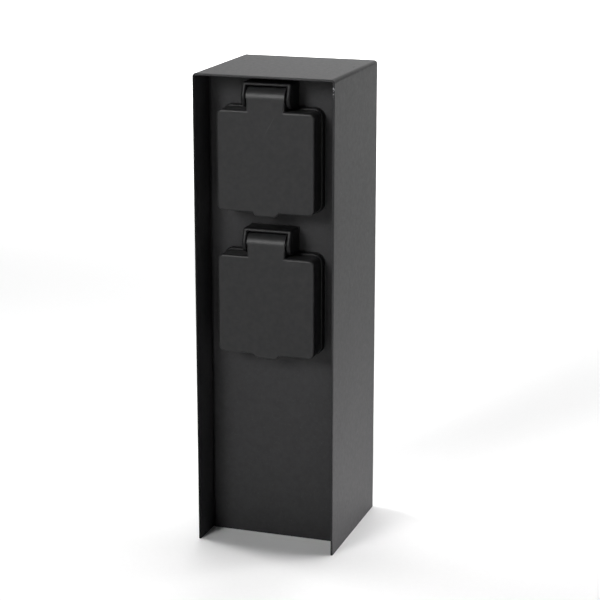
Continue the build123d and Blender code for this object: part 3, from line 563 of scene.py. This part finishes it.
# %% Run a recipe
def follow(recipe, name, points, edges, body, slot, *nodes):
    """Runs the recipe on some points, and puts the plain mesh that comes out in the place of CAD nodes.

    The piece rides on the body, or on none where body is None.
    """
    seed_mesh = bpy.data.meshes.new("seed")
    seed_mesh.from_pydata(points, edges, [])
    seed = bpy.data.objects.new("seed", seed_mesh)
    bpy.context.scene.collection.objects.link(seed)
    modifier = seed.modifiers.new("recipe", "NODES")
    modifier.node_group = recipe.tree
    for identifier, value in recipe.sizes.items():
        modifier[identifier] = value
    graph = bpy.context.evaluated_depsgraph_get()
    mesh = bpy.data.meshes.new_from_object(seed.evaluated_get(graph), depsgraph=graph)
    seed.modifiers.remove(modifier)
    bpy.data.objects.remove(seed)
    shape = bmesh.new()
    shape.from_mesh(mesh)
    bmesh.ops.recalc_face_normals(shape, faces=shape.faces)
    shape.to_mesh(mesh)
    shape.free()
    piece = bpy.data.objects.new(name, mesh)
    bpy.context.scene.collection.objects.link(piece)
    if body:
        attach(piece, body)
    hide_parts(*nodes)
    print(name, len(mesh.polygons), "faces", [round(v / MM, 2) for v in piece.dimensions], "mm")
    return piece


# %% [markdown]
# ## The folded shroud
#
# On the real post one sheet is cut, coated edges and all, after it has been folded over a bar twice.
# So its shape is a rule: a path up, across and down, and one thin, round-edged section that is
# carried along it. Round edges matter here, because a coated sheet has no sharp ones, and they catch
# the light. The path's corners are rounded to the middle of the sheet's thickness.

# %% Carry the sheet's section along its path
roof_bend = 1.8 * MM
edge_round = 0.59 * MM  # a hair under half the sheet, so that the section keeps four sides
smallest_face = 0.001  # in square metres; the strips round a bend or an edge are all smaller


def make_sheet_recipe(depth, material):
    recipe = Recipe("folded sheet", Sheet=sheet, Depth=depth, Bend=roof_bend - sheet / 2, Edge=edge_round,
                    Bend_Steps=10, Edge_Steps=6)
    path = recipe.add("GeometryNodeMeshToCurve", Mesh=recipe.start.outputs[0]).outputs[0]
    path = recipe.fillet(path, "Bend_Steps", "Bend")
    path = recipe.add("GeometryNodeSetCurveNormal", {"mode": "FREE"}, Curve=path,
                      Normal=(0.0, 1.0, 0.0)).outputs[0]
    section = recipe.add("GeometryNodeCurvePrimitiveQuadrilateral", Width=recipe.size("Depth"),
                         Height=recipe.size("Sheet")).outputs[0]
    folded = recipe.sweep(path, recipe.fillet(section, "Edge_Steps", "Edge"))
    area = recipe.add("GeometryNodeInputMeshFaceArea").outputs[0]
    curved = recipe.add("FunctionNodeCompare", {"operation": "LESS_THAN"}, A=area, B=smallest_face).outputs[0]
    folded = recipe.add("GeometryNodeSetShadeSmooth", Geometry=folded, Shade_Smooth=curved).outputs[0]
    recipe.finish(folded, material)
    return recipe


# %% Put the shroud in its place
path_x = shroud_high[0] - sheet / 2
path_z = shroud_high[2] - sheet / 2
sheet_recipe = make_sheet_recipe(shroud_high[1] - shroud_low[1], shroud_coat)
path_points = [(-path_x, 0, 0), (-path_x, 0, path_z), (path_x, 0, path_z), (path_x, 0, 0)]
path_edges = [(0, 1), (1, 2), (2, 3)]
follow(sheet_recipe, "shroud_folded", path_points, path_edges, "post", "powder_coat", "shroud")


# %% [markdown]
# ## Screws
#
# The cover, the sockets and the terminals are held by pan-head screws with a cross recess. They are
# one recipe at three sizes: a core, a thread that is a small diamond carried along a helix, a head
# whose top edge rounds over by a power of its height, and two crossed blocks cut out of it. The
# points that they stand on are measured on the CAD screws, so they can't drift from their holes.

# %% A recipe for one size of screw
def make_screw_recipe(name, radius, head_radius, head_height, length, turn, material):
    """The screw stands on its tip, and turn is the angle about X that lays it into its hole."""
    recipe = Recipe(name, Radius=radius, Length=length, Head_Radius=head_radius, Head_Height=head_height,
                    Pitch=0.35 * radius, Thread_Depth=0.16 * radius, Slot=0.28 * head_radius,
                    Slot_Reach=1.2 * head_radius, Slot_Depth=0.6 * head_height, Rounding=4.0, Draw_In=0.3,
                    Crease=math.radians(40))
    half = recipe.maths("MULTIPLY", recipe.size("Length"), 0.5)
    core_radius = recipe.maths("SUBTRACT", recipe.size("Radius"), recipe.size("Thread_Depth"))
    core = recipe.add("GeometryNodeMeshCylinder", Vertices=24, Radius=core_radius,
                      Depth=recipe.size("Length")).outputs[0]
    core = recipe.raise_by(half, core)
    thread_length = recipe.maths("SUBTRACT", recipe.size("Length"), recipe.size("Radius"))
    turns = recipe.maths("DIVIDE", thread_length, recipe.size("Pitch"))
    helix = recipe.add("GeometryNodeCurveSpiral", Resolution=16, Rotations=turns, Start_Radius=core_radius,
                       End_Radius=core_radius, Height=thread_length).outputs[0]
    helix = recipe.add("GeometryNodeSetCurveNormal", {"mode": "Z_UP"}, Curve=helix).outputs[0]
    ridge = recipe.add("GeometryNodeCurvePrimitiveCircle", Resolution=4,
                       Radius=recipe.size("Thread_Depth")).outputs[0]
    thread = recipe.raise_by(recipe.size("Thread_Depth"), recipe.sweep(helix, ridge))
    head = recipe.add("GeometryNodeMeshCylinder", Vertices=36, Side_Segments=8,
                      Radius=recipe.size("Head_Radius"), Depth=recipe.size("Head_Height")).outputs[0]
    place = recipe.add("GeometryNodeInputPosition").outputs[0]
    split = recipe.add("ShaderNodeSeparateXYZ", Vector=place)
    share = recipe.maths("ADD", recipe.maths("DIVIDE", split.outputs["Z"], recipe.size("Head_Height")), 0.5)
    drawn = recipe.maths("MULTIPLY", recipe.maths("POWER", share, recipe.size("Rounding")),
                         recipe.size("Draw_In"))
    inward = recipe.maths("SUBTRACT", 1.0, drawn)
    rounded = recipe.vector(recipe.maths("MULTIPLY", split.outputs["X"], inward),
                            recipe.maths("MULTIPLY", split.outputs["Y"], inward), split.outputs["Z"])
    head = recipe.add("GeometryNodeSetPosition", Geometry=head, Position=rounded).outputs[0]
    half_head = recipe.maths("MULTIPLY", recipe.size("Head_Height"), 0.5)
    slot_depth = recipe.maths("MULTIPLY", recipe.size("Slot_Depth"), 2.0)
    cross = recipe.add("GeometryNodeMeshBoolean", {"operation": "UNION", "solver": "EXACT"})
    for width, height in (("Slot_Reach", "Slot"), ("Slot", "Slot_Reach")):
        block_size = recipe.vector(recipe.size(width), recipe.size(height), slot_depth)
        block = recipe.add("GeometryNodeMeshCube", Size=block_size).outputs[0]
        recipe.tree.links.new(block, cross.inputs["Mesh 2"])
    cut = recipe.add("GeometryNodeMeshBoolean", {"operation": "DIFFERENCE", "solver": "EXACT"}, Mesh_1=head)
    recipe.tree.links.new(recipe.raise_by(half_head, cross.outputs[0]), cut.inputs["Mesh 2"])
    head = recipe.raise_by(recipe.maths("ADD", recipe.size("Length"), half_head), cut.outputs[0])
    screw = recipe.joined(core, thread, head)
    angle = recipe.add("GeometryNodeInputMeshEdgeAngle").outputs["Unsigned Angle"]
    gentle = recipe.add("FunctionNodeCompare", {"operation": "LESS_THAN"}, A=angle,
                        B=recipe.size("Crease")).outputs[0]
    screw = recipe.add("GeometryNodeSetShadeSmooth", Geometry=screw).outputs[0]
    screw = recipe.add("GeometryNodeSetShadeSmooth", {"domain": "EDGE"}, Geometry=screw,
                       Shade_Smooth=gentle).outputs[0]
    standing = recipe.add("GeometryNodeMeshToPoints", Mesh=recipe.start.outputs[0]).outputs[0]
    set_in = recipe.add("GeometryNodeInstanceOnPoints", Points=standing, Instance=screw,
                        Rotation=(turn, 0.0, 0.0)).outputs[0]
    recipe.finish(set_in, material)
    return recipe


# %% Measure the CAD screws and stand the new ones in their places
def screw_corners(node, head_radius):
    """The x and z of the screws at the corners of a node's box, which their heads reach."""
    low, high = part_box(node)
    return [(x, z) for x in (low[0] + head_radius, high[0] - head_radius)
            for z in (low[2] + head_radius, high[2] - head_radius)]


def set_screws(name, node, places, radius, head_radius, head_height, backward):
    """Screws along Y, with their heads to the rear where backward is true."""
    low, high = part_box(node)
    turn = -math.pi / 2 if backward else math.pi / 2
    tip_y = low[1] if backward else high[1]
    recipe = make_screw_recipe(name, radius, head_radius, head_height, high[1] - low[1] - head_height, turn,
                               zinc_steel)
    follow(recipe, name, [(x, tip_y, z) for x, z in places], [], "post", "zinc_steel", node)


cover_head = 3.8 * MM
set_screws("cover_screws", "rear_cover_screws", screw_corners("rear_cover_screws", cover_head),
           radius=2.0 * MM, head_radius=cover_head, head_height=2.2 * MM, backward=True)
fixing_head = 3.0 * MM
terminal_head = 2.3 * MM
for level in ("lower", "upper"):
    node = f"{level}_fixing_screws"
    set_screws(f"{level}_socket_screws", node, screw_corners(node, fixing_head),
               radius=1.75 * MM, head_radius=fixing_head, head_height=1.9 * MM, backward=False)
    node = f"{level}_terminal_screws"
    (left_x, live_z), (_, earth_z), (right_x, _), _ = screw_corners(node, terminal_head)
    set_screws(f"{level}_clamp_screws", node, [(left_x, live_z), (right_x, live_z), (0.0, earth_z)],
               radius=1.5 * MM, head_radius=terminal_head, head_height=1.6 * MM, backward=True)


# %% [markdown]
# ## Lid springs
#
# Each lid is pushed shut by a torsion spring wound round its pin. One end of the wire stands in the
# hood's cheek and the other in an ear of the lid, so the coil twists when the lid opens. The recipe
# starts from the pin's axis and swings each of its points out by an angle that grows from one end
# of the coil to the other, with soft turns where the wire leaves the coil and runs along the pin.

# %% A recipe for a torsion spring
spring_wire = 0.3 * MM
spring_pitch = 1.15 * MM


def make_spring_recipe(coil_radius, length, pitch, material):
    recipe = Recipe("lid_spring", Wire=spring_wire, Coil_Radius=coil_radius, Length=length, Pitch=pitch,
                    Turns=5.0, End_Bend=0.7 * MM, Steps=241, Flare=8.0)
    axis = recipe.add("GeometryNodeMeshToCurve", Mesh=recipe.start.outputs[0]).outputs[0]
    axis = recipe.add("GeometryNodeResampleCurve", Curve=axis, Count=recipe.size("Steps")).outputs[0]
    lead = recipe.maths("ARCTAN2", recipe.size("End_Bend"), recipe.size("Coil_Radius"))
    squares = (recipe.maths("POWER", recipe.size(side), 2.0) for side in ("Coil_Radius", "End_Bend"))
    end_radius = recipe.maths("SQRT", recipe.maths("ADD", *squares))
    full_angle = recipe.maths("ADD", recipe.maths("MULTIPLY", recipe.size("Turns"), 2 * math.pi),
                              recipe.maths("MULTIPLY", lead, 2.0))
    reach = recipe.maths("MULTIPLY", recipe.maths("DIVIDE", full_angle, 2 * math.pi), recipe.size("Pitch"))
    along = recipe.maths("SUBTRACT", recipe.add("GeometryNodeSplineParameter").outputs["Factor"], 0.5)
    from_centre = recipe.maths("MULTIPLY", along, recipe.size("Length"))
    share = recipe.maths("ADD", recipe.maths("DIVIDE", from_centre, reach), 0.5)
    softness = recipe.maths("DIVIDE", recipe.size("End_Bend"), reach)
    turned = recipe.maths("SMOOTH_MAX", share, 0.0, softness)
    turned = recipe.maths("SMOOTH_MIN", turned, 1.0, softness)
    angle = recipe.maths("SUBTRACT", recipe.maths("MULTIPLY", turned, full_angle), lead)
    both_ways = recipe.maths("SUBTRACT", recipe.maths("MULTIPLY", turned, 2.0), 1.0)
    towards_end = recipe.maths("POWER", recipe.maths("ABSOLUTE", both_ways), recipe.size("Flare"))
    flare = recipe.maths("MULTIPLY", recipe.maths("SUBTRACT", end_radius, recipe.size("Coil_Radius")),
                         towards_end)
    radius = recipe.maths("ADD", recipe.size("Coil_Radius"), flare)
    swing = recipe.vector(0.0, recipe.maths("MULTIPLY", radius, recipe.maths("COSINE", angle)),
                          recipe.maths("MULTIPLY", radius, recipe.maths("SINE", angle)))
    path = recipe.add("GeometryNodeSetPosition", Geometry=axis, Offset=swing).outputs[0]
    section = recipe.add("GeometryNodeCurvePrimitiveCircle", Resolution=10,
                         Radius=recipe.size("Wire")).outputs[0]
    wire = recipe.add("GeometryNodeSetShadeSmooth", Geometry=recipe.sweep(path, section)).outputs[0]
    recipe.finish(wire, material)
    return recipe


# %% Wind both springs on their pins
for level in ("lower", "upper"):
    low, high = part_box(f"{level}_lid_spring")
    coil_radius = (high[1] - low[1]) / 2 - spring_wire
    pin = Vector((0.0, (low[1] + high[1]) / 2, (low[2] + high[2]) / 2))
    ends = [pin + Vector((x, 0.0, 0.0)) for x in (low[0], high[0])]
    recipe = make_spring_recipe(coil_radius, high[0] - low[0], spring_pitch, zinc_steel)
    spring = follow(recipe, f"{level}_torsion_spring", ends, [(0, 1)], None, "zinc_steel",
                    f"{level}_lid_spring")
    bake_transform(spring)

# %% [markdown]
# ## The floor's finish
#
# Seamless background paper: white, matt, with a barely visible tooth. Far from the post, where no
# lamp reaches it, it glows by itself, so that it stays pale up to the backdrop in a low view. Behind
# the post the wash keeps it white, so the glow starts farther out there.

# %% Give the floor its paper
glow_reach = (1.4, 2.6)  # metres from the post: where the glow starts, and where it is full
wash_reach = (0.2, 1.4)  # metres behind the post: where the wash sets in
wash_depth = 0.9  # metres that the glow starts farther out behind the post


def make_paper():
    paper = Finish("background_paper")
    tooth = paper.noise(400.0, 3.0)
    away = paper.add("ShaderNodeVectorMath", {"operation": "LENGTH"}, Vector=paper.place).outputs["Value"]
    behind_post = paper.add("ShaderNodeSeparateXYZ", Vector=paper.place).outputs["Y"]
    washed = paper.between(behind_post, 0.0, wash_depth, *wash_reach)
    glow = paper.between(paper.maths("SUBTRACT", away, washed), 0.0, 1.0, *glow_reach)
    paper.set(Base_Color=paper.blend_colours(tooth, (0.90, 0.90, 0.90), (0.93, 0.93, 0.93)), Roughness=0.9,
              Specular_IOR_Level=0.1, Normal=paper.bump(tooth, 0.05, 0.1 * MM),
              Emission_Color=(1.0, 1.0, 1.0), Emission_Strength=glow)
    paper.material.cycles.emission_sampling = "NONE"
    return paper.material


floor.data.materials.append(make_paper())
print("floor finish:", floor.data.materials[0].name)
